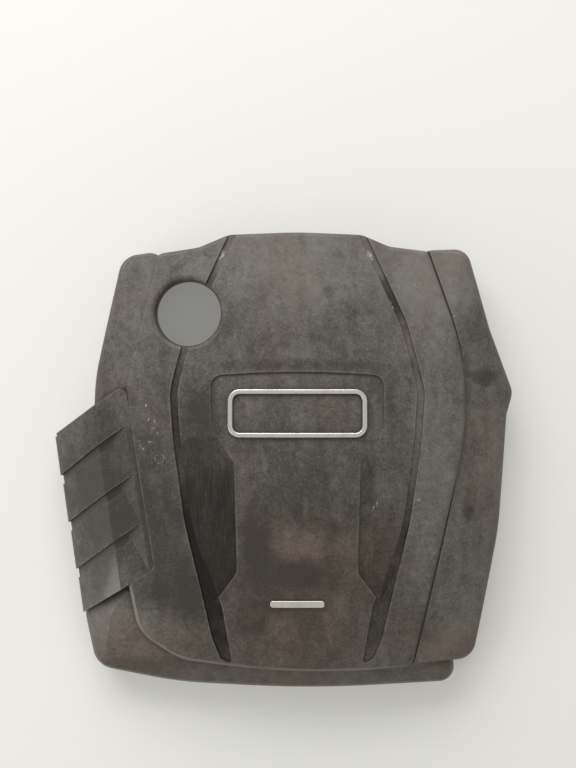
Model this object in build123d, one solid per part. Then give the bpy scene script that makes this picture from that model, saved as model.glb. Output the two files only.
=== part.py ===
"""Moulded engine cover with its badge frame, grommets and sound absorber. Millimetres, +Z up."""
import os
from math import asin, cos, degrees, radians, sin, sqrt, tan

from build123d import *

# Moulding: the walls lean in by the draft and meet their outlines at one level
WALL = 3.0
DRAFT = 2.0
DRAFT_LEVEL = 55.0
SKY = 150.0

# Crowned main panel: part of a large ball, with its highest point above the rim
CROWN_TOP = 90.0
CROWN_RADIUS = 1100.0
CROWN_X = 14.0
CROWN_Y = 10.0
PANEL_FILLET = 5.0

# Side flanks: a barrel that falls away to both sides, a small step below the panel
FLANK_TOP = 99.5
FLANK_RADIUS_X = 520.0
FLANK_RADIUS_Y = 1400.0
FLANK_X = 10.0
FLANK_Y = 20.0
FLANK_STEP = 2.5
FLANK_FILLET = 14.0

# Groove between the panel and the right flank
SEAM_GAP = 1.4
SEAM_DEPTH = 3.0
SEAM_START_X = 118.0

# Front apron: a sloping lip that comes out below the panel and ends in a steep band
APRON_LIP = 28.0
APRON_BAND = 5.0
APRON_EDGE = 38.0
APRON_SLOPE = 30.0
APRON_RUN = 44.0
APRON_STEP = 6.0

# Oil filler hole with its collar
HOLE_X = -95.0
HOLE_Y = 143.5
HOLE_RADIUS = 33.0
COLLAR_FOOT = 56.0

# Inside: where the fin block's partitions end, and gussets in the skirts
PARTITION_FOOT = 30.0
RIB_COUNT = 5
RIB_FIRST_Y = -150.0
RIB_PITCH = 70.0
RIB_WALL = 2.0
RIB_FOOT = 22.0
RIB_INNER_X = 200.0
RIB_INNER_Y = 200.0
REAR_RIB_COUNT = 3
REAR_RIB_PITCH = 50.0
WELD = 0.8

# Recesses in the panel, mirrored about its middle line
MIDDLE_X = 14.5
CHANNEL_DEPTH = 2.2
POCKET_TIP = 19.0
SHIELD_TIP = -22.0

# Fins: shingles on a two-plane roof, bounded by slanting lines
FIN_COUNT = 4
FIN_ANGLE = 33.7
FIN_PITCH = 44.7
FIN_WIDTH = 36.0
FIN_FIRST = 112.1
FIN_RISE = 4.5
FIN_TOE = 0.8
FIN_PLATE = 9.0
FIN_OVERHANG = 3.0
FIN_CORNER = 8.0
ROOF_RUN_ANGLE = 8.9
ROOF_INNER = 144.6
ROOF_CREASE = 182.7
ROOF_OUTER = 231.8
ROOF_HEIGHT = 70.0
ROOF_INNER_SLOPE = 6.0
ROOF_OUTER_SLOPE = 29.0
ROOF_FALL = 1.7
FIN_MARGIN = 20.0
SHOULDER_FLAT = 6.0
SHOULDER_RAMP = 16.0

# Badge frame and name bar, both standing on the panel with staked pins
BADGE_WIDTH = 138.0
BADGE_DEPTH = 48.0
BADGE_BAND = 5.0
BADGE_CORNER = 12.0
BADGE_HEIGHT = 3.0
BADGE_ROUNDING = 1.4
BADGE_Y = 43.6
BAR_WIDTH = 54.0
BAR_DEPTH = 7.0
BAR_HEIGHT = 2.5
BAR_ROUNDING = 0.8
BAR_Y = -146.8
STAKE_RADIUS = 1.5
STAKE_HEAD_RADIUS = 2.6
STAKE_HEAD_HEIGHT = 1.2
FIT_CLEARANCE = 0.1

# Grommet turrets under the panel and the rubber ball sockets in them
TURRET_RADIUS = 16.0
TURRET_WALL = 2.5
TURRET_FOOT = 30.0
TURRET_HOLE = 8.0
TURRET_DRAFT = 1.0
TURRET_WINDOW = 18.0
TURRET_REAR_Y = 80.0
TURRET_REAR_HALF = 139.0
TURRET_FRONT_Y = -165.0
TURRET_FRONT_HALF = 95.0
GROMMET_FLANGE = 11.0
GROMMET_LIP = 3.0
GROMMET_BODY = 10.0
BALL_RADIUS = 5.0
BALL_DEPTH = 9.0
BALL_LEAD = 1.0
GROMMET_ROOF = 4.0

# Foam absorber, its moulded pins and its push-on clips
PAD_GAP = 0.3
PAD_TOP = 7.8
PAD_THICKNESS = 14.0
PAD_CLEARANCE = 2.0
PIN_RADIUS = 2.5
PIN_TAIL = 6.0
PIN_CLEARANCE = 0.3
CLIP_RADIUS = 9.0
CLIP_THICKNESS = 1.5

# Outlines seen from above: corner x, corner y, corner radius, counter-clockwise
PANEL_OUTLINE = [
    (147.5, 207.5, 6), (108, 212, 30), (80, 224, 25), (14, 226.5, 400), (-55, 224, 25), (-86, 211, 30),
    (-128, 205, 10), (-161, 62, 200), (-157, -130, 40), (-147, -181, 38), (-105, -208, 60),
    (16, -222, 900), (132, -216, 14), (184, 23.2, 270), (184, 99.6, 270),
]
FLANK_OUTLINE = [
    (189.5, 212, 17), (146, 209, 18), (128, 192, 10), (-115, 192, 10), (-130, 207.5, 17), (-165, 203.5, 21),
    (-192.5, 80, 200), (-194, 40, 60), (-185, -70, 24), (-135, -100, 12), (-115, -196, 20),
    (110, -200, 12), (133, -213.5, 18), (197, -213, 20), (222.5, -77, 300), (231, 40, 14),
    (238.5, 64, 18), (213, 129, 120),
]
APRON_OUTLINE = [
    (182.5, -239, 16), (157, -95, 10), (-190, -95, 10), (-209.5, -161, 60), (-196, -223.5, 24),
    (-111, -240.3, 400), (30, -247.7, 1200),
]
CHANNEL_OUTLINE = [
    (92, -205, 4), (100, -184, 20), (112, -128, 60), (126.5, -66, 300), (138, 17, 300), (141.5, 66, 60),
    (124, 134, 120), (80, 232, 1), (72, 232, 1), (118, 130, 120), (134, 66, 60), (130.5, 17, 300),
    (120, -66, 300), (110.5, -99, 60), (90, -149, 30), (80, -212, 3),
]
POCKET_OUTLINE = [
    (97, -146, 2), (112, -118, 12), (126, -40, 300), (133, 45, 10), (100, 45, 6), (99.5, 27, 10),
    (77, -6, 14), (74.5, -115, 14),
]
SHIELD_OUTLINE = [
    (77, -6, 14), (99.5, 27, 10), (100.5, 81, 12), (14.5, 86, 900), (-71.5, 81, 12), (-70.5, 27, 10),
    (-48, -6, 14), (-47, -20, 2), (76, -20, 2),
]
PAD_OUTLINE = [(140, 165, 20), (-118, 165, 20), (-118, -143, 20), (118, -143, 20)]
PIN_PLACES = [(-30, 120), (60, 120), (-70, -10), (100, -10), (-50, -130), (80, -130)]


def inset(outline, distance):
    """Move every side of a rounded outline inwards, keeping its arcs concentric."""
    moved = []
    for index, (x, y, radius) in enumerate(outline):
        here = Vector(x, y)
        before = (here - Vector(*outline[index - 1][:2])).normalized()
        after = (Vector(*outline[(index + 1) % len(outline)][:2]) - here).normalized()
        normals = Vector(-before.Y, before.X) + Vector(-after.Y, after.X)
        corner = here + normals * (distance / (1 + before.dot(after)))
        turn = before.X * after.Y - before.Y * after.X
        moved.append((corner.X, corner.Y, max(radius - distance if turn > 0 else radius + distance, 0.6)))
    return moved


def mirrored(outline):
    return [(2 * MIDDLE_X - x, y, radius) for x, y, radius in reversed(outline)]


def face_of(outline):
    wire = FilletPolyline(*[(x, y) for x, y, _ in outline], radius=[r for _, _, r in outline], close=True)
    return make_face(wire)


def prism(outline, low=0.0, high=SKY, draft=0.0):
    """Upright body of an outline; with a draft its sides lean in and meet the outline at DRAFT_LEVEL."""
    if draft:
        outline = inset(outline, -(DRAFT_LEVEL - low) * tan(radians(draft)))
    return Pos(0, 0, low) * extrude(face_of(outline), amount=high - low, taper=draft)


def post(x, y, radius, low=-1.0, high=SKY):
    return Pos(x, y, (low + high) / 2) * Cylinder(radius, high - low)


def tapered_post(x, y, radius, draft, low, high=SKY):
    """Round post whose radius grows with its height by the draft."""
    height = high - low
    return Pos(x, y, (low + high) / 2) * Cone(radius, radius + height * tan(radians(draft)), height)


def crown(drop=0.0, tip=0.0):
    """Ball of the panel's crown, lowered by drop; tip moves it along Y, which slopes its surface."""
    return Pos(CROWN_X, CROWN_Y + tip, CROWN_TOP - CROWN_RADIUS) * Sphere(CROWN_RADIUS - drop)


def crown_height(x, y, drop=0.0, tip=0.0):
    reach = (x - CROWN_X) ** 2 + (y - CROWN_Y - tip) ** 2
    return CROWN_TOP - CROWN_RADIUS + sqrt((CROWN_RADIUS - drop) ** 2 - reach)


def crown_slope(x, y, tip=0.0):
    return sqrt((x - CROWN_X) ** 2 + (y - CROWN_Y - tip) ** 2) / CROWN_RADIUS


def barrel(drop=0.0):
    """Body of revolution about a line along Y: the flanks' surface, lowered by drop."""
    half = 320.0
    top = FLANK_TOP - drop
    along = FLANK_RADIUS_Y - drop
    low = FLANK_TOP - FLANK_RADIUS_X
    end = top - along + sqrt(along ** 2 - half ** 2)
    rear, front = FLANK_Y + half, FLANK_Y - half
    arc = ThreePointArc((front, end), (FLANK_Y, top), (rear, end))
    chord = Polyline((rear, end), (rear, low), (front, low), (front, end))
    plane = Plane(origin=(FLANK_X, 0, 0), x_dir=(0, 1, 0), z_dir=(1, 0, 0))
    return revolve(plane * make_face([arc, chord]), Axis((FLANK_X, 0, low), (0, 1, 0)), 360)


def panel(skin=0.0):
    """Main panel, or with a skin the space inside it."""
    body = prism(inset(PANEL_OUTLINE, skin), -skin, SKY, DRAFT) & crown(skin)
    if skin:
        return body
    body -= post(HOLE_X, HOLE_Y, HOLE_RADIUS)
    return fillet(body.faces().filter_by(GeomType.SPHERE).edges(), PANEL_FILLET)


def flank(skin=0.0):
    """Side flanks, or with a skin the space inside them."""
    body = prism(inset(FLANK_OUTLINE, skin), -skin, SKY, DRAFT) & barrel(skin)
    body = fillet(body.faces().filter_by(GeomType.REVOLUTION).edges(), FLANK_FILLET - skin)
    return body & crown(FLANK_STEP + skin)


def apron(skin=0.0):
    """Front apron, or with a skin the space inside it."""
    foot = inset(APRON_OUTLINE, skin)
    edge = inset(foot, APRON_BAND)
    rise = APRON_RUN * tan(radians(APRON_SLOPE))
    levels = [(foot, APRON_LIP), (edge, APRON_EDGE), (inset(edge, APRON_RUN), APRON_EDGE + rise)]
    slices = [Pos(0, 0, level - skin) * face_of(outline) for outline, level in levels]
    slope = loft(slices[:2], ruled=True) + loft(slices[1:], ruled=True)
    return (prism(foot, -skin, APRON_LIP - skin) + slope) & crown(APRON_STEP + skin)


def fin_point(across, along):
    """Plan point at a distance across the roof and a distance along the fins' lines."""
    run = radians(ROOF_RUN_ANGLE)
    slant = radians(FIN_ANGLE)
    scale = cos(run) * cos(slant) + sin(run) * sin(slant)
    x = -(across * cos(slant) + along * sin(run)) / scale
    y = (along * cos(run) - across * sin(slant)) / scale
    return x, y


FIN_REAR = FIN_FIRST + FIN_WIDTH
FIN_FRONT = FIN_FIRST - (FIN_COUNT - 1) * FIN_PITCH


def fin_field(inner, outer, front, rear, corner=0.0):
    places = [(inner, rear), (outer, rear), (outer, front), (inner, front)]
    return [(*fin_point(across, along), corner) for across, along in places]


FIN_FIELD = fin_field(ROOF_INNER, ROOF_OUTER + FIN_MARGIN, FIN_FRONT, FIN_REAR, FIN_CORNER)


def roof(profile):
    """Sweep a profile, measured from the crease, along the roof's run."""
    run = radians(ROOF_RUN_ANGLE)
    x, y = fin_point(ROOF_CREASE, (FIN_REAR + FIN_FRONT) / 2)
    plane = Plane(origin=(x, y, ROOF_HEIGHT), x_dir=(-cos(run), -sin(run), 0),
                  z_dir=(-sin(run), cos(run), tan(radians(ROOF_FALL))))
    return extrude(plane * make_face(Polyline(*profile, close=True)), amount=SKY, both=True)


def roof_line(drop, edge):
    reach = ROOF_CREASE - ROOF_INNER + 40
    width = ROOF_OUTER - ROOF_CREASE - edge
    return [(-reach, reach * tan(radians(ROOF_INNER_SLOPE)) - drop), (0, -drop),
            (width, -width * tan(radians(ROOF_OUTER_SLOPE)) - drop)]


def fin_block(skin=0.0):
    """Body under the fins, or with a skin the space inside it."""
    line = roof_line(FIN_RISE + 1.15 * skin, FIN_OVERHANG + skin)
    body = roof(line + [(line[2][0], -SKY), (line[0][0], -SKY)])
    inner = ROOF_INNER - (25 if skin else 0)
    field = fin_field(inner, ROOF_OUTER + FIN_MARGIN, FIN_FRONT + skin, FIN_REAR - skin)
    return body & prism(field, -skin)


def fin(index):
    """One shingle: a plate of the roof between two slanting lines, its rear edge tipped down."""
    front = FIN_FIRST - index * FIN_PITCH
    top = roof_line(0, 0)
    plate = roof(top + [(x, z - FIN_PLATE) for x, z in reversed(top)])
    plate &= prism(fin_field(ROOF_INNER - FIN_MARGIN, ROOF_OUTER + FIN_MARGIN, front, front + FIN_WIDTH))
    x, y = fin_point(ROOF_CREASE, front)
    slant = radians(FIN_ANGLE)
    hinge = Axis((x, y, ROOF_HEIGHT), (cos(slant), sin(slant), 0))
    return plate.rotate(hinge, -degrees(asin((FIN_RISE - FIN_TOE) / FIN_WIDTH))) & prism(FIN_FIELD)


def fin_shoulder():
    """Strip along the inner edge of the roof, where the steps between the fins run out."""
    rise = tan(radians(ROOF_INNER_SLOPE))
    start = ROOF_INNER - ROOF_CREASE - FIN_MARGIN
    flat = start + FIN_MARGIN + SHOULDER_FLAT
    end = flat + SHOULDER_RAMP
    top = [(start, -start * rise), (flat, -flat * rise), (end, -end * rise - FIN_RISE)]
    return roof(top + [(end, -FIN_PLATE), (start, -FIN_PLATE)]) & prism(FIN_FIELD)


def seam(skin=0.0):
    """Groove that frees the panel's right edge from the flank, or with a skin the material kept around it."""
    band = prism(inset(PANEL_OUTLINE, -SEAM_GAP - skin), 0, SKY, DRAFT)
    band &= Pos(SEAM_START_X - skin + SKY, 0, 0) * Box(2 * SKY, 4 * SKY, 4 * SKY)
    if skin:
        band -= prism(inset(PANEL_OUTLINE, skin), 0, SKY, DRAFT)
    return band - crown(FLANK_STEP + SEAM_DEPTH + skin)


RECESSES = [
    (CHANNEL_OUTLINE, CHANNEL_DEPTH, 0.0), (mirrored(CHANNEL_OUTLINE), CHANNEL_DEPTH, 0.0),
    (POCKET_OUTLINE, 0.0, POCKET_TIP), (mirrored(POCKET_OUTLINE), 0.0, POCKET_TIP),
    (SHIELD_OUTLINE, 0.0, SHIELD_TIP),
]


def recess(outline, depth, tip, skin=0.0):
    """Space of one recess, or with a skin the material that is kept around it."""
    return prism(inset(outline, -skin)) - crown(depth + skin, tip)


def outer_form():
    """Outside of the moulding as one closed body, before its recesses are sunk."""
    well = post(HOLE_X, HOLE_Y, HOLE_RADIUS + 2 * PANEL_FILLET)
    body = panel() + (flank() - [well, seam()]) - prism(FIN_FIELD)
    return body + [fin_block(), fin_shoulder(), apron(), *(fin(index) for index in range(FIN_COUNT))]


def inner_space():
    """Hollow of the moulding, open at the rim, with room for the collar, the seam and the recesses."""
    space = panel(WALL) + [flank(WALL), apron(WALL)] - prism(inset(FIN_FIELD, -WALL), -SKY)
    rims = [prism(inset(outline, WALL), -WALL, PARTITION_FOOT) for outline in (FLANK_OUTLINE, APRON_OUTLINE)]
    space += [fin_block(WALL), *rims]
    collar = post(HOLE_X, HOLE_Y, HOLE_RADIUS + WALL, COLLAR_FOOT)
    return space - [seam(WALL), collar, *(recess(*sizes, WALL) for sizes in RECESSES)]


def turret(x, y):
    """Round turret with a floor for the grommet and a window towards the middle of the cover."""
    floor = TURRET_FOOT + TURRET_WALL
    body = tapered_post(x, y, TURRET_RADIUS, TURRET_DRAFT, TURRET_FOOT)
    body -= tapered_post(x, y, TURRET_RADIUS - TURRET_WALL, TURRET_DRAFT, floor)
    body -= tapered_post(x, y, TURRET_HOLE, TURRET_DRAFT, TURRET_FOOT - TURRET_WALL, floor + TURRET_WALL)
    side = 1 if x < MIDDLE_X else -1
    window = Pos(x + side * TURRET_RADIUS, y, floor + SKY / 2)
    return body - window * Box(2 * TURRET_RADIUS, TURRET_WINDOW, SKY)


TURRETS = {
    "grommet_rear_left": (MIDDLE_X - TURRET_REAR_HALF, TURRET_REAR_Y),
    "grommet_rear_right": (MIDDLE_X + TURRET_REAR_HALF, TURRET_REAR_Y),
    "grommet_front_left": (MIDDLE_X - TURRET_FRONT_HALF, TURRET_FRONT_Y),
    "grommet_front_right": (MIDDLE_X + TURRET_FRONT_HALF, TURRET_FRONT_Y),
}
PAD_BOTTOM = PAD_TOP + PAD_THICKNESS
BADGE_STAKES = [(MIDDLE_X + side * (BADGE_WIDTH - BADGE_BAND) / 2, BADGE_Y) for side in (-1, 1)]
BADGE_STAKES += [(MIDDLE_X, BADGE_Y + side * (BADGE_DEPTH - BADGE_BAND) / 2) for side in (-1, 1)]
BAR_STAKES = [(MIDDLE_X + side * BAR_WIDTH / 3, BAR_Y) for side in (-1, 1)]


def skirt_ribs(space):
    """Upright gussets inside the right skirt and the rear skirt, as deep as the hollow there."""
    ribs = []
    for index in range(RIB_COUNT):
        y = RIB_FIRST_Y + index * RIB_PITCH
        ribs.append(Pos(RIB_INNER_X + SKY / 2, y, RIB_FOOT + SKY / 2) * Box(SKY, RIB_WALL, SKY))
    for index in range(REAR_RIB_COUNT):
        x = MIDDLE_X + (index - (REAR_RIB_COUNT - 1) / 2) * REAR_RIB_PITCH
        ribs.append(Pos(x, RIB_INNER_Y + SKY / 2, RIB_FOOT + SKY / 2) * Box(RIB_WALL, SKY, SKY))
    return [rib & space for rib in ribs]


def cover_shell():
    space = inner_space()
    body = outer_form() - space
    under = [turret(x, y) for x, y in TURRETS.values()]
    for x, y in PIN_PLACES:
        under.append(post(x, y, PIN_RADIUS, crown_height(x, y, PAD_BOTTOM) - PIN_TAIL))
    ceiling = crown(WALL - WELD)
    body += [piece & ceiling for piece in under] + skirt_ribs(space)
    holes = [post(x, y, STAKE_RADIUS + FIT_CLEARANCE) for x, y in BADGE_STAKES + BAR_STAKES]
    return body - [*(recess(*sizes) for sizes in RECESSES), *holes]


def stake(x, y, tip):
    """Pin through the panel with its melted head against the underside."""
    under = crown_height(x, y, WALL, tip) - crown_slope(x, y, tip) * STAKE_HEAD_RADIUS - FIT_CLEARANCE
    pin = post(x, y, STAKE_RADIUS, under - STAKE_HEAD_HEIGHT, crown_height(x, y, 0.0, tip) + WELD)
    return pin + post(x, y, STAKE_HEAD_RADIUS, under - STAKE_HEAD_HEIGHT, under)


def trim(face, height, tip, rounding, stakes):
    """Bright trim of a plan shape that follows the panel's crown, held by stakes."""
    body = extrude(face, amount=SKY) & crown(-height, tip)
    body -= crown(0.0, tip)
    body = fillet(body.faces().sort_by(Axis.Z)[-1].edges(), rounding)
    for x, y in stakes:
        body += stake(x, y, tip)
    return body


def badge_frame():
    outer = RectangleRounded(BADGE_WIDTH, BADGE_DEPTH, BADGE_CORNER)
    hole = offset(outer, -BADGE_BAND)
    face = Pos(MIDDLE_X, BADGE_Y) * (outer - hole)
    return trim(face, BADGE_HEIGHT, SHIELD_TIP, BADGE_ROUNDING, BADGE_STAKES)


def name_bar():
    face = Pos(MIDDLE_X, BAR_Y) * RectangleRounded(BAR_WIDTH, BAR_DEPTH, BAR_DEPTH / 3)
    return trim(face, BAR_HEIGHT, 0.0, BAR_ROUNDING, BAR_STAKES)


def grommet(x, y):
    """Rubber ball socket, snapped into the floor of its turret and open downwards."""
    foot = TURRET_FOOT - GROMMET_LIP
    floor = TURRET_FOOT + TURRET_WALL
    neck = TURRET_HOLE - FIT_CLEARANCE
    end = foot + BALL_DEPTH + BALL_LEAD
    top = foot + BALL_DEPTH + GROMMET_ROOF
    profile = Polyline(
        (BALL_RADIUS + BALL_LEAD, foot), (GROMMET_FLANGE, foot), (GROMMET_FLANGE, TURRET_FOOT),
        (neck, TURRET_FOOT), (neck, floor), (GROMMET_BODY, floor), (GROMMET_BODY, floor + GROMMET_LIP),
        (neck, top), (0, top), (0, end), (BALL_RADIUS / 2, end), (BALL_RADIUS, end - 2 * BALL_LEAD),
        (BALL_RADIUS, foot + BALL_LEAD), close=True)
    return Pos(x, y, 0) * revolve(Plane.XZ * make_face(profile), Axis.Z, 360)


def absorber_pad():
    body = (prism(PAD_OUTLINE) & crown(PAD_TOP)) - crown(PAD_BOTTOM)
    for x, y in TURRETS.values():
        body -= post(x, y, TURRET_RADIUS + PAD_CLEARANCE)
    for x, y in PIN_PLACES:
        body -= post(x, y, PIN_RADIUS + PIN_CLEARANCE)
    return body - post(HOLE_X, HOLE_Y, HOLE_RADIUS + WALL + PAD_CLEARANCE)


def absorber_clips():
    clips = Part()
    for x, y in PIN_PLACES:
        top = crown_height(x, y, PAD_BOTTOM) - crown_slope(x, y) * CLIP_RADIUS - PAD_GAP
        clips += post(x, y, CLIP_RADIUS, top - CLIP_THICKNESS, top) - post(x, y, PIN_RADIUS + FIT_CLEARANCE)
    return clips


def main():
    pieces = {"cover_shell": cover_shell(), "badge_frame": badge_frame(), "name_bar": name_bar(),
              "absorber_pad": absorber_pad(), "absorber_clips": absorber_clips()}
    for name, (x, y) in TURRETS.items():
        pieces[name] = grommet(x, y)
    middle = pieces["cover_shell"].bounding_box().center()
    os.makedirs("parts", exist_ok=True)
    for name, piece in pieces.items():
        export_step(Pos(-middle.X, -middle.Y, 0) * piece, f"parts/{name}.step")
    print("origin moved to plan point", middle.X, middle.Y)


if __name__ == "__main__":
    main()
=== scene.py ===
"""Dresses the engine cover: dusty grained plastic, polished channels, satin trim, rubber sockets and foam."""
import math

import bmesh
import bpy
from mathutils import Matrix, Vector, noise


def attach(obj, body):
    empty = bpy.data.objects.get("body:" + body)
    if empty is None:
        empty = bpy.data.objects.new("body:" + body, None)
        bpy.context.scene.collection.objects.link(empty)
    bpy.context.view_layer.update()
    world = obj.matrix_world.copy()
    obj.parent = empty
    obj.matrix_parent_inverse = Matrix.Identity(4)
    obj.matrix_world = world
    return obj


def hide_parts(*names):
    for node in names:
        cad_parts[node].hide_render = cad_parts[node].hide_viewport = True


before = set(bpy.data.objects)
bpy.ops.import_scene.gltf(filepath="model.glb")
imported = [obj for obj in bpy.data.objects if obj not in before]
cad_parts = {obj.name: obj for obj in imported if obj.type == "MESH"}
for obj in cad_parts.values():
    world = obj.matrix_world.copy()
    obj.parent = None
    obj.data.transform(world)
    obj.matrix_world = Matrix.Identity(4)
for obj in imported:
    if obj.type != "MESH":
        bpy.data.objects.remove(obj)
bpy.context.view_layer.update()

bl_info = {
    "name": "Engine cover looks",
    "version": (1, 0, 0),
    "blender": (4, 5, 0),
    "location": "3D View > Sidebar > Engine cover",
    "description": "Gives the engine cover its plastics, trim, rubber and foam, and sets the stage",
    "category": "Object",
}

BODY = "root"
MM = 0.001
SOCKET_NODES = ("grommet_rear_left", "grommet_rear_right", "grommet_front_left", "grommet_front_right")
TRIM_NODES = ("badge_frame", "name_bar")
POLYAMIDE_IOR = 1.53
# Most of a noise pattern lies between these values
NOISE_SPAN = {"From Min": 0.3, "From Max": 0.7}
# Depths in mm under the panel's ball between which its rolled edge lies
RIM_TOP, RIM_FOOT = 4, 7
# How far from a step or a wall the painted shade in grooves reaches, in mm
GROOVE_REACH = 8
# Where the pockets start and stop darkening towards the front, along y in mm
POCKET_REAR, POCKET_DEEP = 55, -20
# Where the darker left pocket gives way to the dustier right one, along x in mm
POCKET_LEFT, POCKET_RIGHT = -20, 50
# Points nearer than this are one point, and a face this near a ball is part of it
WELD = 0.01 * MM
ON_BALL = 0.04 * MM
# Faces look up above the first share of the upright, and are the foam's underside below the second
LOOKS_UP, LOOKS_DOWN = 0.5, -0.3

# Pale nicks on the panel, and at (-63, 212) and (86, 211) two painted glints at the channels' rear ends:
# place from the cover's middle, half length and width in mm, direction in degrees
NICKS_AND_GLINTS = (
    (-138, 60, 1.8, 1.4, 80), (-135, 46, 3.2, 0.7, 60), (-129, 44, 2.6, 0.7, 110), (-131, 37, 3.0, 0.7, 20),
    (-126, 33, 2.4, 0.6, 75), (-144, 20, 1.8, 1.4, 40), (-141, 17, 2.8, 0.6, 130), (-134, 24, 2.2, 0.6, 15),
    (92, -36, 5.0, 0.9, 80), (134, -34, 1.6, 1.2, 0), (-96, 128, 1.4, 1.0, 0), (172, 150, 3.0, 0.6, 30),
    (-63, 212, 7.0, 3.0, 62), (86, 211, 7.0, 3.0, 118), (108, 160, 6.0, 0.5, 112), (88, -42, 3.5, 0.7, 70),
)
# Worn rings on the panel: place, radius and line width in mm, and strength
RINGS = ((134, 181, 3, 0.9, 0.4), (-124, 7, 4.5, 0.8, 0.45), (-120, 4, 3.5, 0.7, 0.35))
# Where dust lies thicker or has been wiped off: place, half widths in mm, and the dust's gain or loss. The
# dark band along the top edge of the badge recess, (8, 100), is painted shade
DUST_AND_SHADE_PATCHES = (
    (14, 202, 210, 75, 0.42), (145, 166, 60, 90, 0.40), (165, 198, 60, 60, 0.55), (-157, 136, 45, 100, 0.20),
    (147, -5, 45, 190, 0.30), (215, -10, 55, 190, 0.25), (-157, -170, 95, 42, 0.45),
    (4, -75, 125, 135, -0.25), (-121, -75, 55, 130, -0.30), (-100, -135, 62, 62, -0.25),
    (-82, 42, 34, 46, -0.45), (14, -78, 44, 26, 0.55), (14, -109, 36, 18, -0.42), (45, -140, 44, 24, 0.20),
    (-25, -150, 30, 14, 0.15), (70, 156, 26, 13, -0.30), (-185, -30, 60, 130, -0.40),
    (20, -226, 230, 22, 0.30), (55, 208, 15, 13, -0.25), (44, 172, 10, 10, -0.30), (67, 141, 13, 20, -0.20),
    (203, 88, 20, 13, -0.50), (186, -48, 9, 13, -0.50), (-40, 170, 40, 18, -0.15), (108, -20, 26, 60, 0.20),
    (-27, -72, 20, 60, -0.28), (21, -43, 4, 16, 0.35), (52, -46, 10, 18, 0.32), (-19, 2, 4, 13, 0.30),
    (0, -166, 24, 20, 0.20), (58, -95, 26, 42, 0.15), (-30, -147, 24, 46, -0.20),
    (190, -130, 50, 60, 0.20), (4, 85, 90, 40, 0.10), (8, 100, 100, 9, -0.35), (175, -190, 55, 45, 0.55),
)
# Where the dust is brown instead of grey: place, half widths in mm, and how brown it is
EARTH_PATCHES = (
    (30, -110, 120, 110, 0.9), (-30, -90, 40, 80, 0.5), (-50, -195, 190, 70, 0.6), (-170, -190, 70, 60, 0.4),
    (120, -180, 70, 60, 0.35), (4, 30, 130, 70, 0.2), (200, -20, 50, 90, 0.3), (180, -195, 60, 50, 0.6),
)
# Where the panel's rolled edge gets a painted highlight: place, half widths in mm, and how much
RIM_HIGHLIGHT_PATCHES = ((-150, -140, 55, 70, 0.6), (-90, -190, 80, 34, 0.6), (40, -205, 130, 24, 0.5))
# Where the channels' polish shows through the dust: place, half widths in mm, and how bare it is
BARE_PATCHES = (
    (-72, -135, 60, 130, 1.0), (-104, 56, 30, 75, 0.6), (103, 161, 24, 40, 0.85), (123, -50, 30, 62, 0.65),
    (95, -160, 36, 48, 0.4), (-98, -70, 60, 90, 1.0), (112, -105, 36, 62, 0.45), (-80, 186, 18, 30, 0.6),
)
# Where the channels run on through the pockets' front ends: place, half length and width in mm,
# direction in degrees, and how bare they are
CHANNEL_ENDS = ((-78, -113, 34, 6.5, -71, 1.0), (107, -110, 38, 7, -107, 0.6))


def linear(code):
    """Linear red, green, blue and alpha of an sRGB hex colour."""
    channels = [int(code[start:start + 2], 16) / 255 for start in (1, 3, 5)]
    return (*(c / 12.92 if c <= 0.04045 else ((c + 0.055) / 1.055) ** 2.4 for c in channels), 1.0)


def colour_setting(name, description, code):
    """Colour property with an sRGB hex default."""
    return bpy.props.FloatVectorProperty(
        name=name, description=description, default=linear(code), size=4, subtype="COLOR", min=0.0, max=1.0)


def add(tree, kind, links=None, **settings):
    """One node with its settings; links gives each input a value, another node or one of its outputs."""
    made = tree.nodes.new(kind)
    for name, value in settings.items():
        setattr(made, name, value)
    for name, value in (links or {}).items():
        if isinstance(value, bpy.types.Node):
            value = value.outputs[0]
        if isinstance(value, bpy.types.NodeSocket):
            tree.links.new(value, made.inputs[name])
        else:
            made.inputs[name].default_value = value
    return made


def per_metre(millimetres):
    """Pattern scale whose features are about that many millimetres apart."""
    return 1 / (millimetres * MM)


def shade_of(colour, share):
    """The same hue, darker or paler by a share."""
    return (*(channel * share for channel in colour[:3]), 1.0)


def new_material(name):
    """Empty node material, its tree and the places of its points."""
    material = bpy.data.materials.new(name)
    material.use_nodes = True
    tree = material.node_tree
    tree.nodes.clear()
    place = add(tree, "ShaderNodeTexCoord").outputs["Object"]
    return material, tree, place


class CoverForm(bpy.types.PropertyGroup):
    """Sizes of the moulding that tell its recesses from the panel."""
    crown_radius: bpy.props.FloatProperty(
        name="Crown radius", description="Radius of the ball that the panel is part of",
        default=1.1, unit="LENGTH")
    crown_place: bpy.props.FloatVectorProperty(
        name="Crown place", description="Highest point of the panel's ball",
        default=(0.012395, 0.018879, 0.090), subtype="TRANSLATION")
    channel_depth: bpy.props.FloatProperty(
        name="Channel depth", description="Depth of the long channels under the panel",
        default=0.0022, unit="LENGTH")
    pocket_tip: bpy.props.FloatProperty(
        name="Pocket tip", description="How far the pockets' ball is moved to the rear",
        default=0.019, unit="LENGTH")


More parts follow.
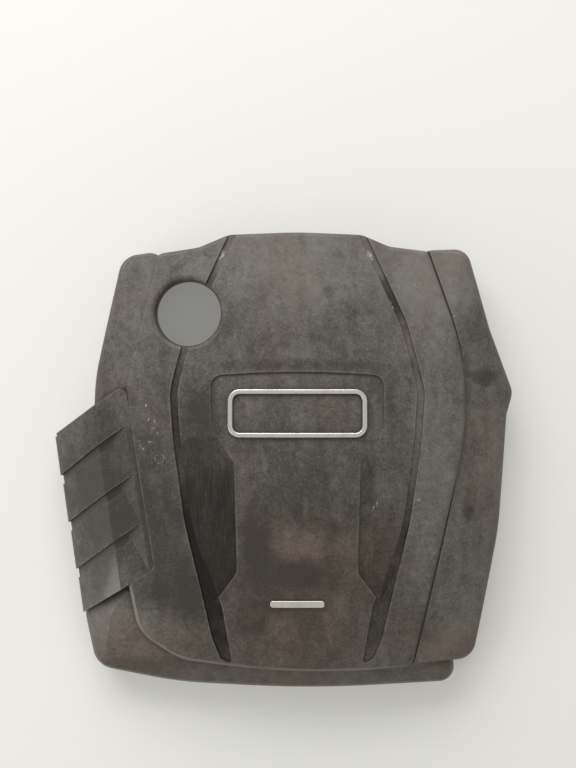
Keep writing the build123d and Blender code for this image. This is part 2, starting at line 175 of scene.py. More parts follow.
class ShellFinish(bpy.types.PropertyGroup):
    """Colours and grain of the moulded shell."""
    plastic: colour_setting("Plastic", "Clean moulded plastic", "#36312b")
    dust: colour_setting("Dust", "Dry grey dust on the plastic", "#74706a")
    earth: colour_setting("Earth", "Brown dust that lies towards the front", "#6e6053")
    # Painted shade: this colour darkens grooves and the feet of steps, where the AO node finds the surface
    # closed in
    grime: colour_setting("Grime", "Dark dirt in grooves and under steps", "#332d27")
    # Besides rubbed edges, this colour paints highlights along edges and on the panel's rolled rim, and
    # painted light into the deepest grooves
    rubbed: colour_setting("Rubbed edge", "Plastic rubbed pale along its edges", "#8f8981")
    # This colour also paints two glints at the channels' rear ends
    scrape_and_glint: colour_setting("Scrape", "Plastic scraped nearly white", "#b9b6b0")
    channel: colour_setting("Channel", "Polished plastic in the channels", "#15120f")
    pocket: colour_setting("Pocket", "Plastic in the pockets", "#201d19")
    grain: bpy.props.FloatProperty(
        name="Grain", description="Distance between the bumps of the moulded grain", default=0.0016,
        unit="LENGTH")
    sheen: bpy.props.FloatProperty(
        name="Sheen", description="Level of reflection through the dust, 0.5 when clean", default=0.3,
        subtype="FACTOR", min=0.0, max=1.0)
    smooth_sheen: bpy.props.FloatProperty(
        name="Smooth sheen", description="Level of reflection of the channels and pockets", default=0.18,
        subtype="FACTOR", min=0.0, max=1.0)
    edge: bpy.props.FloatProperty(
        name="Edge rounding", description="Rounding of the moulding's edges", default=0.0012, unit="LENGTH")
    # The band holds rubbed plastic and a painted edge highlight
    wear_and_highlight: bpy.props.FloatProperty(
        name="Wear width", description="Width of the rubbed band along the edges", default=0.003,
        unit="LENGTH")


class PartFinish(bpy.types.PropertyGroup):
    """Colours of the trim, the sockets, the clips and the foam."""
    trim: colour_setting("Trim", "Satin chrome", "#b4b2ae")
    rubber: colour_setting("Rubber", "Moulded rubber", "#1d1c1b")
    zinc: colour_setting("Zinc", "Zinc plated spring steel", "#a9a89f")
    foam: colour_setting("Foam", "Open cell foam", "#504e4a")
    foam_cell: bpy.props.FloatProperty(
        name="Foam cell", description="Size of the foam's cells", default=0.0018, unit="LENGTH")


class FoamForm(bpy.types.PropertyGroup):
    """Sizes of the foam absorber's soft surface."""
    voxel: bpy.props.FloatProperty(
        name="Voxel", description="Spacing of the foam's points", default=0.0025, unit="LENGTH")
    smoothing: bpy.props.IntProperty(
        name="Smoothing", description="How often the foam's edges are smoothed", default=3)
    swell: bpy.props.FloatProperty(
        name="Swell", description="Distance between the swells of the underside", default=0.028,
        unit="LENGTH")
    swell_height: bpy.props.FloatProperty(
        name="Swell height", description="Height of the swells", default=0.0005, unit="LENGTH")
    bump: bpy.props.FloatProperty(
        name="Bump", description="Distance between the bumps of the underside", default=0.007,
        unit="LENGTH")
    bump_height: bpy.props.FloatProperty(
        name="Bump height", description="Height of the bumps", default=0.0002, unit="LENGTH")
    dent_depth: bpy.props.FloatProperty(
        name="Dent depth", description="How far a clip presses the foam in", default=0.0016,
        unit="LENGTH")
    dent_reach: bpy.props.FloatProperty(
        name="Dent reach", description="Distance from a clip over which its dent fades", default=0.011,
        unit="LENGTH")


class StageSettings(bpy.types.PropertyGroup):
    """Camera, lights and floor."""
    eye: bpy.props.FloatVectorProperty(
        name="Eye", description="Place of the camera, which looks straight down",
        default=(0.0036, 0.0814, 0.990), subtype="TRANSLATION")
    lens: bpy.props.FloatProperty(
        name="Lens", description="Focal length of the camera", default=42.85, unit="CAMERA")
    floor: colour_setting("Floor", "Pale painted floor", "#f9f8f2")
    floor_size: bpy.props.FloatProperty(
        name="Floor size", description="Side of the square floor", default=12.0, unit="LENGTH")
    floor_glow: bpy.props.FloatProperty(
        name="Floor glow", description="Share of the floor that the camera sees evenly lit", default=0.2,
        subtype="FACTOR", min=0.0, max=1.0)
    floor_near: bpy.props.FloatProperty(
        name="Floor near", description="Distance up to which the floor keeps its shadows",
        default=0.8, unit="LENGTH")
    floor_far: bpy.props.FloatProperty(
        name="Floor far", description="Distance from which the floor is as even as the background",
        default=2.2, unit="LENGTH")
    sky: bpy.props.FloatProperty(name="Sky", description="Strength of the even light", default=0.4)
    lamp: bpy.props.FloatProperty(
        name="Lamp", description="Power of the soft lamp behind the cover", default=92.0, unit="POWER")
    lamp_place: bpy.props.FloatVectorProperty(
        name="Lamp place", description="Middle of the soft lamp", default=(-0.7, 2.6, 1.75),
        subtype="TRANSLATION")
    lamp_size: bpy.props.FloatVectorProperty(
        name="Lamp size", description="Sides of the soft lamp", default=(3.2, 1.8), size=2, unit="LENGTH")
    fill: bpy.props.FloatProperty(
        name="Fill", description="Power of the weaker lamp in front of the fins", default=5.0, unit="POWER")
    fill_place: bpy.props.FloatVectorProperty(
        name="Fill place", description="Middle of the weaker lamp", default=(-1.45, -0.7, 0.6),
        subtype="TRANSLATION")
    fill_size: bpy.props.FloatVectorProperty(
        name="Fill size", description="Sides of the weaker lamp", default=(0.9, 0.6), size=2, unit="LENGTH")


class CoverSettings(bpy.types.PropertyGroup):
    """All settings of the cover."""
    form: bpy.props.PointerProperty(type=CoverForm, name="Form", description="Sizes of the moulding")
    shell: bpy.props.PointerProperty(type=ShellFinish, name="Shell", description="Finish of the shell")
    parts: bpy.props.PointerProperty(
        type=PartFinish, name="Parts", description="Finish of the trim, sockets, clips and foam")
    foam: bpy.props.PointerProperty(type=FoamForm, name="Foam", description="Sizes of the absorber")
    stage: bpy.props.PointerProperty(
        type=StageSettings, name="Stage", description="Camera, lights and floor")


def plan_distance(tree, place, x, y, turn=0.0, length=1.0, width=1.0):
    """Distance from a place on the panel, in lengths along one direction and widths across it."""
    local = add(tree, "ShaderNodeMapping", {
        "Vector": place, "Location": (x * MM, y * MM, 0), "Rotation": (0, 0, math.radians(turn)),
        "Scale": (length * MM, width * MM, 1)}, vector_type="TEXTURE")
    flat = add(tree, "ShaderNodeVectorMath", {0: local, 1: (1, 1, 0)}, operation="MULTIPLY")
    return add(tree, "ShaderNodeVectorMath", {0: flat}, operation="LENGTH").outputs["Value"]


def upward_share(tree, start, end):
    """Nought on faces that look sideways or down, one on faces that look up."""
    normal = add(tree, "ShaderNodeNewGeometry").outputs["Normal"]
    facing = add(tree, "ShaderNodeSeparateXYZ", {0: normal}).outputs["Z"]
    return add(tree, "ShaderNodeMapRange", {"Value": facing, "From Min": start, "From Max": end})


def scrape_and_glint_mask(tree, place):
    """Nicks, worn rings and two painted glints around given places on the panel, broken up by noise."""
    marks = []
    for x, y, length, width, turn in NICKS_AND_GLINTS:
        away = plan_distance(tree, place, x, y, turn, length, width)
        marks.append(add(tree, "ShaderNodeMapRange", {"Value": away, "From Min": 1.0, "From Max": 0.4}))
    for x, y, radius, width, strength in RINGS:
        away = plan_distance(tree, place, x, y)
        off = add(tree, "ShaderNodeMath", {0: away, 1: radius}, operation="SUBTRACT")
        gap = add(tree, "ShaderNodeMath", {0: off}, operation="ABSOLUTE")
        marks.append(add(tree, "ShaderNodeMapRange", {
            "Value": gap, "From Min": width, "From Max": 0.0, "To Max": strength}))
    total = upward_share(tree, 0.5, 0.8)
    patchy = add(tree, "ShaderNodeTexNoise", {"Vector": place, "Scale": per_metre(2.0), "Detail": 3.0})
    broken = add(tree, "ShaderNodeMapRange", {"Value": patchy, "From Min": 0.4, "From Max": 0.6})
    seen = marks.pop()
    for mark in marks:
        seen = add(tree, "ShaderNodeMath", {0: seen, 1: mark}, operation="MAXIMUM")
    for share in (broken, seen):
        total = add(tree, "ShaderNodeMath", {0: total, 1: share}, operation="MULTIPLY")
    return total


def patch_sum(tree, place, patches):
    """Sum of soft oval patches, each with its own amount in its middle."""
    total = 0.0
    for x, y, half_x, half_y, amount in patches:
        away = plan_distance(tree, place, x, y, 0.0, half_x, half_y)
        patch = add(tree, "ShaderNodeMapRange", {
            "Value": away, "From Min": 1.0, "From Max": 0.2, "To Max": amount},
            interpolation_type="SMOOTHSTEP")
        total = add(tree, "ShaderNodeMath", {0: patch, 1: total}, operation="ADD")
    return total


def dust_and_shade_mask(tree, place):
    """Uneven dust and a painted shade band: listed patches, soft clouds, smears, wiped streaks and fine
    specks on what faces up.
    """
    cloud = add(tree, "ShaderNodeTexNoise", {
        "Vector": place, "Scale": per_metre(48), "Detail": 5.0, "Roughness": 0.55, "Distortion": 0.8})
    smear = add(tree, "ShaderNodeTexNoise", {
        "Vector": place, "Scale": per_metre(20), "Detail": 6.0, "Roughness": 0.7, "Distortion": 2.5})
    wiped = add(tree, "ShaderNodeMapping", {
        "Vector": place, "Rotation": (0, 0, 0.5), "Scale": (1.0, 0.3, 1.0)})
    streak = add(tree, "ShaderNodeTexNoise", {"Vector": wiped, "Scale": per_metre(12), "Detail": 5.0})
    speck = add(tree, "ShaderNodeTexNoise", {"Vector": place, "Scale": per_metre(2.2), "Detail": 2.0})
    total = patch_sum(tree, place, DUST_AND_SHADE_PATCHES)
    amounts = ((cloud, 0.03, 0.37), (smear, -0.18, 0.22), (streak, -0.14, 0.16), (speck, -0.18, 0.2))
    for layer, low, high in amounts:
        share = add(tree, "ShaderNodeMapRange", {
            "Value": layer, **NOISE_SPAN, "To Min": low, "To Max": high})
        total = add(tree, "ShaderNodeMath", {0: total, 1: share}, operation="ADD")
    # The ends are eased, so that bare and thickly covered places keep some mottling
    eased = add(tree, "ShaderNodeMapRange", {
        "Value": total, "From Min": -0.35, "From Max": 1.05}, interpolation_type="SMOOTHSTEP")
    held = add(tree, "ShaderNodeMapRange", {"Value": upward_share(tree, 0.1, 0.7), "To Min": 0.25})
    return add(tree, "ShaderNodeMath", {0: eased, 1: held}, operation="MULTIPLY")


def edge_wear_and_highlight(tree, place, width):
    """Share of rubbed plastic and painted edge highlight: high where the surface turns within a width, broken
    up by noise.
    """
    turning = add(tree, "ShaderNodeBevel", {"Radius": width}, samples=6)
    normal = add(tree, "ShaderNodeNewGeometry").outputs["Normal"]
    agree = add(tree, "ShaderNodeVectorMath", {0: normal, 1: turning}, operation="DOT_PRODUCT")
    turned = add(tree, "ShaderNodeMapRange", {
        "Value": agree.outputs["Value"], "From Min": 0.995, "From Max": 0.93})
    patchy = add(tree, "ShaderNodeTexNoise", {"Vector": place, "Scale": per_metre(9), "Detail": 4.0})
    broken = add(tree, "ShaderNodeMapRange", {
        "Value": patchy, "From Min": 0.35, "From Max": 0.65, "To Min": 0.05, "To Max": 0.45})
    return add(tree, "ShaderNodeMath", {0: turned, 1: broken}, operation="MULTIPLY")


def rim_highlight(tree, place, form):
    """Share of painted highlight on the panel's rolled edge: tilted faces just below the crown's ball."""
    centre = Vector(form.crown_place) - Vector((0, 0, form.crown_radius))
    away = add(tree, "ShaderNodeVectorMath", {0: place, 1: centre}, operation="DISTANCE").outputs["Value"]
    high = add(tree, "ShaderNodeMapRange", {
        "Value": away, "From Min": form.crown_radius - RIM_FOOT * MM,
        "From Max": form.crown_radius - RIM_TOP * MM})
    steep = add(tree, "ShaderNodeMath", {
        0: upward_share(tree, 0.97, 0.9), 1: upward_share(tree, 0.4, 0.6)}, operation="MULTIPLY")
    band = add(tree, "ShaderNodeMath", {0: high, 1: steep}, operation="MULTIPLY")
    return add(tree, "ShaderNodeMath", {
        0: band, 1: patch_sum(tree, place, RIM_HIGHLIGHT_PATCHES)}, operation="MULTIPLY", use_clamp=True)


def scraped_and_glint_colour(tree, place, colour, finish):
    """Colour with its nicks, worn rings and painted glints."""
    return add(tree, "ShaderNodeMixRGB", {0: scrape_and_glint_mask(tree, place), 1: colour, 2: finish.scrape_and_glint})


def groove_shade_and_light(tree, colour, finish):
    """Colour with painted shade under steps and in grooves, and painted light that lifts the deepest grooves
    with the rubbed colour; share of open faces.
    """
    air = add(tree, "ShaderNodeAmbientOcclusion", {"Distance": GROOVE_REACH * MM}, samples=8).outputs["AO"]
    opened = add(tree, "ShaderNodeMapRange", {"Value": air, "From Min": 0.55, "From Max": 0.95})
    # Painted shade: the grime colour goes where the AO node finds little open air
    groove_shaded = add(tree, "ShaderNodeMixRGB", {0: opened, 1: finish.grime, 2: colour})
    # Painted light: the deepest grooves are lifted with the rubbed colour
    packed = add(tree, "ShaderNodeMapRange", {"Value": air, "From Min": 0.35, "From Max": 0.1})
    return add(tree, "ShaderNodeMixRGB", {0: packed, 1: groove_shaded, 2: finish.rubbed}), opened


def dusty_colour(tree, place, finish):
    """Colour of the plastic under its grey and brown dust, and the dust's share."""
    dust = dust_and_shade_mask(tree, place)
    cloud = add(tree, "ShaderNodeTexNoise", {"Vector": place, "Scale": per_metre(60), "Detail": 3.0})
    sway = add(tree, "ShaderNodeMapRange", {
        "Value": cloud, **NOISE_SPAN, "To Min": -0.2, "To Max": 0.35})
    warm = add(tree, "ShaderNodeMath", {
        0: patch_sum(tree, place, EARTH_PATCHES), 1: sway}, operation="ADD", use_clamp=True)
    powder = add(tree, "ShaderNodeMixRGB", {0: warm, 1: finish.dust, 2: finish.earth})
    grit = add(tree, "ShaderNodeTexNoise", {
        "Vector": place, "Scale": per_metre(7), "Detail": 5.0, "Roughness": 0.7, "Distortion": 0.6})
    shade = add(tree, "ShaderNodeMapRange", {
        "Value": grit, **NOISE_SPAN, "To Min": 0.82, "To Max": 1.18})
    uneven = add(tree, "ShaderNodeVectorMath", {0: powder, "Scale": shade}, operation="SCALE")
    return add(tree, "ShaderNodeMixRGB", {0: dust, 1: finish.plastic, 2: uneven}), dust


def grained_plastic(finish, form):
    """Mineral filled polyamide, moulded in a grained tool: dull, soft-edged highlights under patchy dust,
    painted shade in its grooves and painted highlights along its edges.
    """
    material, tree, place = new_material("moulded_polyamide_grained")
    colour, dust = dusty_colour(tree, place, finish)
    rounded = add(tree, "ShaderNodeBevel", {"Radius": finish.edge}, samples=6)
    groove_shaded, opened = groove_shade_and_light(tree, colour, finish)
    # Rubbed edges, with painted highlights along the edges and on the panel's rolled rim
    edges = add(tree, "ShaderNodeMath", {
        0: edge_wear_and_highlight(tree, place, finish.wear_and_highlight), 1: rim_highlight(tree, place, form)}, operation="MAXIMUM")
    wear_and_highlight = add(tree, "ShaderNodeMath", {0: edges, 1: opened}, operation="MULTIPLY")
    rubbed = add(tree, "ShaderNodeMixRGB", {0: wear_and_highlight, 1: groove_shaded, 2: finish.rubbed})
    scraped = scraped_and_glint_colour(tree, place, rubbed, finish)
    # The grain is drawn a little coarser than it is, so that a picture can show it
    grain = add(tree, "ShaderNodeTexNoise", {
        "Vector": place, "Scale": per_metre(finish.grain / MM), "Detail": 2.0})
    bump = add(tree, "ShaderNodeBump", {
        "Height": grain, "Normal": rounded, "Strength": 0.22, "Distance": 0.4 * MM})
    dull = add(tree, "ShaderNodeMapRange", {"Value": dust, "To Min": 0.42, "To Max": 0.62})
    shader = add(tree, "ShaderNodeBsdfPrincipled", {
        "Base Color": scraped, "IOR": POLYAMIDE_IOR, "Specular IOR Level": finish.sheen,
        "Roughness": dull, "Normal": bump})
    add(tree, "ShaderNodeOutputMaterial", {"Surface": shader})
    return material


def polished_plastic(finish):
    """The same polyamide from a polished part of the tool: dark and glossy where no dust lies on it."""
    material, tree, place = new_material("moulded_polyamide_polished")
    colour, _ = dusty_colour(tree, place, finish)
    patchy = add(tree, "ShaderNodeTexNoise", {"Vector": place, "Scale": per_metre(12), "Detail": 4.0})
    broken = add(tree, "ShaderNodeMapRange", {
        "Value": patchy, "From Min": 0.3, "From Max": 0.6, "To Min": 0.7})
    share = add(tree, "ShaderNodeMath", {
        0: patch_sum(tree, place, BARE_PATCHES), 1: broken}, operation="MULTIPLY", use_clamp=True)
    bare = add(tree, "ShaderNodeMixRGB", {0: share, 1: colour, 2: finish.channel})
    # Nicks, and two painted glints at the channels' rear ends
    scraped = scraped_and_glint_colour(tree, place, bare, finish)
    gloss = add(tree, "ShaderNodeMapRange", {"Value": share, "To Min": 0.5, "To Max": 0.18})
    shader = add(tree, "ShaderNodeBsdfPrincipled", {
        "Base Color": scraped, "IOR": POLYAMIDE_IOR, "Specular IOR Level": finish.smooth_sheen,
        "Roughness": gloss})
    add(tree, "ShaderNodeOutputMaterial", {"Surface": shader})
    return material


def lined_plastic(finish):
    """Polyamide with a fine lined texture along the pockets, which darken from their rear to their front."""
    material, tree, place = new_material("moulded_polyamide_lined")
    colour, _ = dusty_colour(tree, place, finish)
    drawn = add(tree, "ShaderNodeMapping", {"Vector": place, "Scale": (1.0, 0.06, 1.0)})
    line = add(tree, "ShaderNodeTexNoise", {"Vector": drawn, "Scale": per_metre(2.2), "Detail": 3.0})
    parts = add(tree, "ShaderNodeSeparateXYZ", {0: place})
    deep = add(tree, "ShaderNodeMapRange", {
        "Value": parts.outputs["Y"], "From Min": POCKET_REAR * MM, "From Max": POCKET_DEEP * MM},
        interpolation_type="SMOOTHSTEP")
    left = add(tree, "ShaderNodeMapRange", {
        "Value": parts.outputs["X"], "From Min": POCKET_LEFT * MM, "From Max": POCKET_RIGHT * MM,
        "To Min": 1.0, "To Max": 0.4})
    side = add(tree, "ShaderNodeMath", {0: deep, 1: left}, operation="MULTIPLY")
    thin = add(tree, "ShaderNodeMapRange", {
        "Value": line, **NOISE_SPAN, "To Min": 1.0, "To Max": 0.7})
    share = add(tree, "ShaderNodeMath", {0: side, 1: thin}, operation="MULTIPLY")
    # Painted sheen: the lined plastic shines less than the panel, so the dust on it is taken a little paler
    # to make up for it
    paler = add(tree, "ShaderNodeVectorMath", {0: colour, "Scale": 1.25}, operation="SCALE")
    dark = add(tree, "ShaderNodeMixRGB", {0: share, 1: paler, 2: finish.pocket})
    for x, y, length, width, turn, bare in CHANNEL_ENDS:
        away = plan_distance(tree, place, x, y, turn, length, width)
        inside = add(tree, "ShaderNodeMapRange", {
            "Value": away, "From Min": 1.0, "From Max": 0.7, "To Max": bare})
        dark = add(tree, "ShaderNodeMixRGB", {0: inside, 1: dark, 2: finish.channel})
    scraped = scraped_and_glint_colour(tree, place, dark, finish)
    bump = add(tree, "ShaderNodeBump", {"Height": line, "Strength": 0.2, "Distance": 0.4 * MM})
    shader = add(tree, "ShaderNodeBsdfPrincipled", {
        "Base Color": scraped, "IOR": POLYAMIDE_IOR, "Specular IOR Level": finish.smooth_sheen,
        "Roughness": 0.55, "Normal": bump})
    add(tree, "ShaderNodeOutputMaterial", {"Surface": shader})
    return material


def satin_chrome(finish):
    """Chromed ABS with a satin finish: bright, slightly blurred reflections and a little grime."""
    material, tree, place = new_material("satin_chromed_abs")
    grime = add(tree, "ShaderNodeTexNoise", {"Vector": place, "Scale": per_metre(9), "Detail": 4.0})
    share = add(tree, "ShaderNodeMapRange", {
        "Value": grime, "From Min": 0.5, "From Max": 0.8, "To Max": 0.5})
    colour = add(tree, "ShaderNodeMixRGB", {0: share, 1: finish.trim, 2: shade_of(finish.trim, 0.55)})
    blur = add(tree, "ShaderNodeMapRange", {"Value": grime, "To Min": 0.2, "To Max": 0.44})
    shader = add(tree, "ShaderNodeBsdfPrincipled", {"Base Color": colour, "Metallic": 1.0, "Roughness": blur})
    add(tree, "ShaderNodeOutputMaterial", {"Surface": shader})
    return material


def socket_rubber(finish):
    """Moulded nitrile rubber: near black and matt, with a grey bloom in patches."""
    material, tree, place = new_material("moulded_nitrile_rubber")
    bloom = add(tree, "ShaderNodeTexNoise", {"Vector": place, "Scale": per_metre(5), "Detail": 4.0})
    share = add(tree, "ShaderNodeMapRange", {
        "Value": bloom, "From Min": 0.5, "From Max": 0.8, "To Max": 0.4})
    colour = add(tree, "ShaderNodeMixRGB", {0: share, 1: finish.rubber, 2: shade_of(finish.rubber, 4.0)})
    bump = add(tree, "ShaderNodeBump", {"Height": bloom, "Strength": 0.15, "Distance": 0.3 * MM})
    shader = add(tree, "ShaderNodeBsdfPrincipled", {"Base Color": colour, "Roughness": 0.72, "Normal": bump})
    add(tree, "ShaderNodeOutputMaterial", {"Surface": shader})
    return material


def zinc_steel(finish):
    """Stamped spring steel with a zinc coat: grey metal with a faint crystal mottle."""
    material, tree, place = new_material("zinc_plated_spring_steel")
    crystal = add(tree, "ShaderNodeTexVoronoi", {"Vector": place, "Scale": per_metre(2.5)})
    share = add(tree, "ShaderNodeMapRange", {"Value": crystal, "To Max": 0.4})
    colour = add(tree, "ShaderNodeMixRGB", {0: share, 1: finish.zinc, 2: shade_of(finish.zinc, 0.6)})
    blur = add(tree, "ShaderNodeMapRange", {"Value": crystal, "To Min": 0.32, "To Max": 0.5})
    shader = add(tree, "ShaderNodeBsdfPrincipled", {"Base Color": colour, "Metallic": 1.0, "Roughness": blur})
    add(tree, "ShaderNodeOutputMaterial", {"Surface": shader})
    return material


def open_foam(finish):
    """Open cell polyurethane foam, cut from a block: dull, with pores darkened as painted shade into fine
    dark dots.
    """
    material, tree, place = new_material("open_cell_polyurethane_foam")
    cell = add(tree, "ShaderNodeTexVoronoi", {
        "Vector": place, "Scale": per_metre(finish.foam_cell / MM)})
    # Painted shade: the pores are darkened
    pore_shade = add(tree, "ShaderNodeMapRange", {"Value": cell, "From Min": 0.15, "From Max": 0.6})
    cloud = add(tree, "ShaderNodeTexNoise", {"Vector": place, "Scale": per_metre(40), "Detail": 4.0})
    share = add(tree, "ShaderNodeMath", {0: pore_shade, 1: cloud}, operation="MULTIPLY")
    colour = add(tree, "ShaderNodeMixRGB", {0: share, 1: shade_of(finish.foam, 0.35), 2: finish.foam})
    bump = add(tree, "ShaderNodeBump", {"Height": cell, "Strength": 0.6, "Distance": 0.8 * MM})
    shader = add(tree, "ShaderNodeBsdfPrincipled", {"Base Color": colour, "Roughness": 0.95, "Normal": bump})
    add(tree, "ShaderNodeOutputMaterial", {"Surface": shader})
    return material


def dress(node, *materials):
    """Put materials on a CAD node's slots and return its mesh."""
    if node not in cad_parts:
        raise RuntimeError(f"the frame has no node {node}")
    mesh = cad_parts[node].data
    mesh.materials.clear()
    for material in materials:
        mesh.materials.append(material)
    return mesh


def recess_faces(mesh, form):
    """Indices of the channel floors' faces and of the pocket floors' faces."""
    peak = Vector(form.crown_place)
    centre = peak - Vector((0, 0, form.crown_radius))
    tipped = centre + Vector((0, form.pocket_tip, 0))
    channels, pockets = [], []
    for face in mesh.polygons:
        if face.normal.z < LOOKS_UP:
            continue
        corners = [mesh.vertices[index].co for index in face.vertices]
        sunk = [form.crown_radius - (corner - centre).length for corner in corners]
        if all(abs(depth - form.channel_depth) < ON_BALL for depth in sunk):
            channels.append(face.index)
        elif all(abs(form.crown_radius - (corner - tipped).length) < ON_BALL for corner in corners):
            if max(sunk) > ON_BALL:
                pockets.append(face.index)
    return channels, pockets


class DressShell(bpy.types.Operator):
    """Give the moulded shell its grained, polished and lined plastic"""
    bl_idname = "cover.dress_shell"
    bl_label = "Dress the shell"

    def execute(self, context):
        settings = context.scene.engine_cover
        finish = settings.shell
        grained = grained_plastic(finish, settings.form)
        mesh = dress("cover_shell", grained, polished_plastic(finish), lined_plastic(finish))
        channels, pockets = recess_faces(mesh, settings.form)
        if not channels or not pockets:
            raise RuntimeError("the shell has no channel or pocket floors at the stated depth")
        for index in channels:
            mesh.polygons[index].material_index = 1
        for index in pockets:
            mesh.polygons[index].material_index = 2
        return {"FINISHED"}


class DressTrim(bpy.types.Operator):
    """Give the badge frame and the name bar their satin chrome"""
    bl_idname = "cover.dress_trim"
    bl_label = "Dress the trim"

    def execute(self, context):
        chrome = satin_chrome(context.scene.engine_cover.parts)
        for node in TRIM_NODES:
            dress(node, chrome)
        return {"FINISHED"}


class DressFixings(bpy.types.Operator):
    """Give the stud sockets their rubber and the absorber's clips their zinc"""
    bl_idname = "cover.dress_fixings"
    bl_label = "Dress the sockets and clips"

    def execute(self, context):
        finish = context.scene.engine_cover.parts
        rubber = socket_rubber(finish)
        for node in SOCKET_NODES:
            dress(node, rubber)
        dress("absorber_clips", zinc_steel(finish))
        return {"FINISHED"}


def clip_places():
    """Middle of each push-on clip, from the groups of joined points in the clips' mesh."""
    whole = bmesh.new()
    whole.from_mesh(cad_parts["absorber_clips"].data)
    bmesh.ops.remove_doubles(whole, verts=whole.verts, dist=WELD)
    left = dict.fromkeys(whole.verts)
    places = []
    while left:
        queue = [left.popitem()[0]]
        group = list(queue)
        while queue:
            for edge in queue.pop().link_edges:
                for point in edge.verts:
                    if point in left:
                        del left[point]
                        queue.append(point)
                        group.append(point)
        places.append(sum((point.co for point in group), Vector()) / len(group))
    whole.free()
    return places


def soften_underside(shape, form):
    """Let the foam's underside swell a little and give way under the clips."""
    clips = clip_places()
    for point in shape.vertices:
        lift = noise.noise(point.co / form.swell) * form.swell_height
        lift += noise.noise(point.co / form.bump) * form.bump_height
        for clip in clips:
            away = (point.co.xy - clip.xy).length
            lift += form.dent_depth * math.exp(-(away / form.dent_reach) ** 2)
        if point.normal.z < LOOKS_DOWN:
            point.co.z += lift


class MakeAbsorber(bpy.types.Operator):
    """Make the foam absorber from its solid, with soft edges and dimples under the clips"""
    bl_idname = "cover.make_absorber"
    bl_label = "Make the absorber"

    def execute(self, context):
        settings = context.scene.engine_cover
        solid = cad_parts["absorber_pad"]
        foam = bpy.data.objects.new("absorber_foam", solid.data.copy())
        context.scene.collection.objects.link(foam)
        merge = foam.modifiers.new("Weld", "WELD")
        merge.merge_threshold = WELD
        voxel = foam.modifiers.new("Remesh", "REMESH")
        voxel.mode = "VOXEL"
        voxel.voxel_size = settings.foam.voxel
        soft = foam.modifiers.new("Smooth", "SMOOTH")
        soft.iterations = settings.foam.smoothing
        context.view_layer.update()
        graph = context.evaluated_depsgraph_get()
        shape = bpy.data.meshes.new_from_object(foam.evaluated_get(graph))
        foam.modifiers.clear()
        foam.data = shape
        soften_underside(shape, settings.foam)
        shape.materials.clear()
        shape.materials.append(open_foam(settings.parts))
        for face in shape.polygons:
            face.use_smooth = True
        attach(foam, BODY)
        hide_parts("absorber_pad")
        return {"FINISHED"}


def first_ray(tree):
    """One for rays that come straight from the camera, a mirror or glass, and nought for the light's own."""
    ray = add(tree, "ShaderNodeLightPath").outputs
    seen = add(tree, "ShaderNodeMath", {
        0: ray["Is Camera Ray"], 1: ray["Is Glossy Ray"]}, operation="MAXIMUM")
    return add(tree, "ShaderNodeMath", {0: seen, 1: ray["Is Transmission Ray"]}, operation="MAXIMUM")


def floor_paint(stage):
    """Matt painted board: pale and even, so that only the cover's shadow shows on it."""
    material, tree, place = new_material("matt_painted_board")
    cloud = add(tree, "ShaderNodeTexNoise", {"Vector": place, "Scale": per_metre(400), "Detail": 3.0})
    shade = add(tree, "ShaderNodeMapRange", {"Value": cloud, "To Min": 0.97})
    toned = add(tree, "ShaderNodeVectorMath", {0: stage.floor[:3], "Scale": shade}, operation="SCALE")
    paint = add(tree, "ShaderNodeBsdfPrincipled", {"Base Color": toned, "Roughness": 0.8})
    glow = add(tree, "ShaderNodeEmission", {"Color": stage.floor})
    away = add(tree, "ShaderNodeVectorMath", {0: place}, operation="LENGTH").outputs["Value"]
    even = add(tree, "ShaderNodeMapRange", {
        "Value": away, "From Min": stage.floor_near, "From Max": stage.floor_far,
        "To Min": stage.floor_glow}, interpolation_type="SMOOTHSTEP")
    share = add(tree, "ShaderNodeMath", {0: first_ray(tree), 1: even}, operation="MULTIPLY")
    mix = add(tree, "ShaderNodeMixShader", {0: share, 1: paint, 2: glow})
    add(tree, "ShaderNodeOutputMaterial", {"Surface": mix})
    return material


def even_world(stage):
    """World that lights the cover evenly and is as pale as the floor where it is seen."""
    world = bpy.data.worlds.new("even_light")
    world.use_nodes = True
    tree = world.node_tree
    tree.nodes.clear()
    light = add(tree, "ShaderNodeBackground", {"Color": (1.0, 1.0, 1.0, 1.0), "Strength": stage.sky})
    seen = add(tree, "ShaderNodeBackground", {"Color": stage.floor, "Strength": 1.0})
    mix = add(tree, "ShaderNodeMixShader", {0: first_ray(tree), 1: light, 2: seen})
    add(tree, "ShaderNodeOutputWorld", {"Surface": mix})
    return world


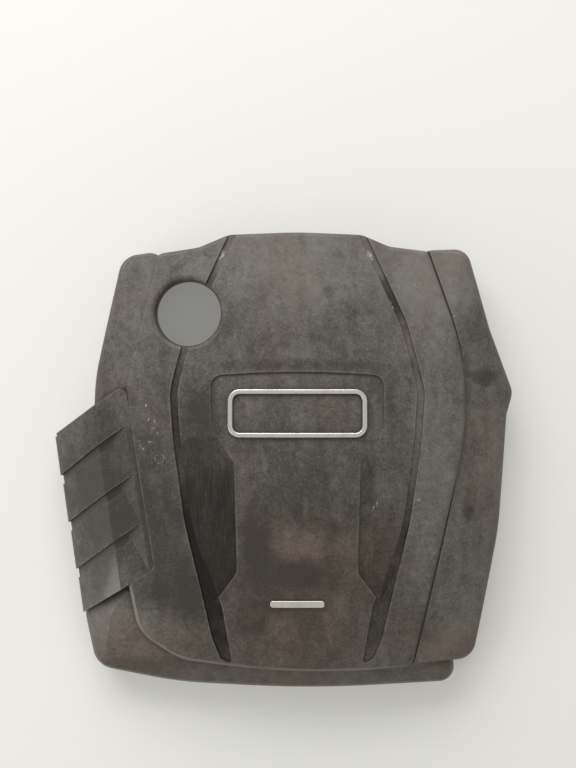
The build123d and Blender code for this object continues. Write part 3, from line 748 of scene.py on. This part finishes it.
def hang_lamp(scene, name, place, size, power):
    """Rectangular lamp that faces the middle of the cover."""
    lamp = bpy.data.lights.new(name, "AREA")
    lamp.shape = "RECTANGLE"
    lamp.size, lamp.size_y = size
    lamp.energy = power
    holder = bpy.data.objects.new(name, lamp)
    holder.location = place
    holder.rotation_euler = (-holder.location).to_track_quat("-Z", "Y").to_euler()
    scene.collection.objects.link(holder)


def hang_camera(scene, stage):
    """Camera that looks straight down on the cover."""
    camera = bpy.data.cameras.new("camera")
    camera.lens = stage.lens
    eye = bpy.data.objects.new("camera", camera)
    eye.location = stage.eye
    scene.collection.objects.link(eye)
    scene.camera = eye


class SetStage(bpy.types.Operator):
    """Set the floor, the soft light and the camera straight above the cover"""
    bl_idname = "cover.set_stage"
    bl_label = "Set the stage"

    def execute(self, context):
        scene = context.scene
        stage = scene.engine_cover.stage
        bpy.ops.mesh.primitive_plane_add(size=stage.floor_size, location=(0, 0, 0))
        floor = context.active_object
        floor.name = "floor"
        floor.data.materials.append(floor_paint(stage))
        scene.world = even_world(stage)
        hang_lamp(scene, "soft_lamp", stage.lamp_place, stage.lamp_size, stage.lamp)
        hang_lamp(scene, "fill_lamp", stage.fill_place, stage.fill_size, stage.fill)
        hang_camera(scene, stage)
        scene.view_settings.view_transform = "Standard"
        return {"FINISHED"}


OPERATORS = (DressShell, DressTrim, DressFixings, MakeAbsorber, SetStage)


class CoverPanel(bpy.types.Panel):
    """Lists the cover's steps"""
    bl_idname = "VIEW3D_PT_engine_cover"
    bl_label = "Engine cover"
    bl_space_type = "VIEW_3D"
    bl_region_type = "UI"
    bl_category = "Engine cover"

    def draw(self, context):
        for operator in OPERATORS:
            self.layout.operator(operator.bl_idname)


CLASSES = (
    CoverForm, ShellFinish, PartFinish, FoamForm, StageSettings, CoverSettings, *OPERATORS, CoverPanel)


def register():
    for item in CLASSES:
        bpy.utils.register_class(item)
    bpy.types.Scene.engine_cover = bpy.props.PointerProperty(type=CoverSettings)


def unregister():
    del bpy.types.Scene.engine_cover
    for item in reversed(CLASSES):
        bpy.utils.unregister_class(item)


def main():
    register()
    bpy.ops.cover.dress_shell()
    bpy.ops.cover.dress_trim()
    bpy.ops.cover.dress_fixings()
    bpy.ops.cover.make_absorber()
    bpy.ops.cover.set_stage()


if __name__ == "__main__":
    main()
